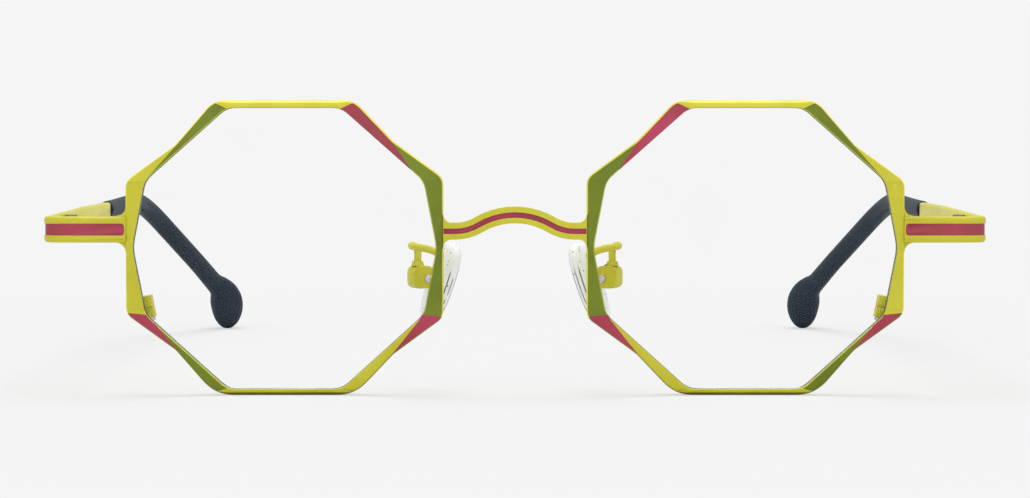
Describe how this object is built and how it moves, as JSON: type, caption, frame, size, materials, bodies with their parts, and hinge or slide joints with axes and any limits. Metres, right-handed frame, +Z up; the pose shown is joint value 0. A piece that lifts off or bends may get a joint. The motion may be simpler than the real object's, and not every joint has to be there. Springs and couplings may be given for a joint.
{
  "type": "eyeglasses",
  "caption": "Eyeglasses with faceted octagonal metal rims, clear lenses, a wavy bridge, folding temples, dark bent tips and rocking nose pads.",
  "frame": {"origin": "on the surface that the glasses stand on, in the middle of their width and depth", "axes": "+X to the wearer's left, +Y from the front to the tips of the temples, +Z up"},
  "size_m": [0.139, 0.1352, 0.0434],
  "materials": {
    "frame_lacquer": "gloss",
    "clear_lens": "clear",
    "clear_silicone": "clear",
    "navy_acetate": "satin",
    "pale_plastic": "satin",
    "screw_steel": "polished"
  },
  "bodies": {
    "front": {"bridge": "frame_lacquer", "right_rim": "frame_lacquer", "left_rim": "frame_lacquer", "right_lens": "clear_lens", "left_lens": "clear_lens", "right_end_piece": "frame_lacquer", "left_end_piece": "frame_lacquer", "right_block_upper": "frame_lacquer", "left_block_upper": "frame_lacquer", "right_block_lower": "frame_lacquer", "left_block_lower": "frame_lacquer", "right_rim_screw": "screw_steel", "left_rim_screw": "screw_steel", "right_pad_arm": "frame_lacquer", "left_pad_arm": "frame_lacquer", "right_pad_box": "frame_lacquer", "left_pad_box": "frame_lacquer", "right_pad_screw": "screw_steel", "left_pad_screw": "screw_steel", "right_front_leaf": "frame_lacquer", "left_front_leaf": "frame_lacquer", "right_hinge_screw": "screw_steel", "left_hinge_screw": "screw_steel"},
    "left_temple": {"left_temple_leaf": "frame_lacquer", "left_temple": "frame_lacquer", "left_tip": "navy_acetate"},
    "right_temple": {"right_temple_leaf": "frame_lacquer", "right_temple": "frame_lacquer", "right_tip": "navy_acetate"},
    "left_pad": {"left_pad_core": "pale_plastic", "left_nose_pad": "clear_silicone"},
    "right_pad": {"right_pad_core": "pale_plastic", "right_nose_pad": "clear_silicone"}
  },
  "joints": [
    {"name": "left_temple_fold", "type": "hinge", "parent": "front", "child": "left_temple", "pos_m": [0.0668, -0.05641, 0.0244], "axis": [0, 0, 1], "range_deg": [0, 88]},
    {"name": "right_temple_fold", "type": "hinge", "parent": "front", "child": "right_temple", "pos_m": [-0.0668, -0.05641, 0.0244], "axis": [0, 0, -1], "range_deg": [0, 80]},
    {"name": "left_pad_rock", "type": "hinge", "parent": "front", "child": "left_pad", "pos_m": [0.0135, -0.05921, 0.0168], "axis": [0.4226, 0.9063, 0], "range_deg": [-10, 10]},
    {"name": "right_pad_rock", "type": "hinge", "parent": "front", "child": "right_pad", "pos_m": [-0.0135, -0.05921, 0.0168], "axis": [-0.4226, 0.9063, 0], "range_deg": [-10, 10]}
  ]
}
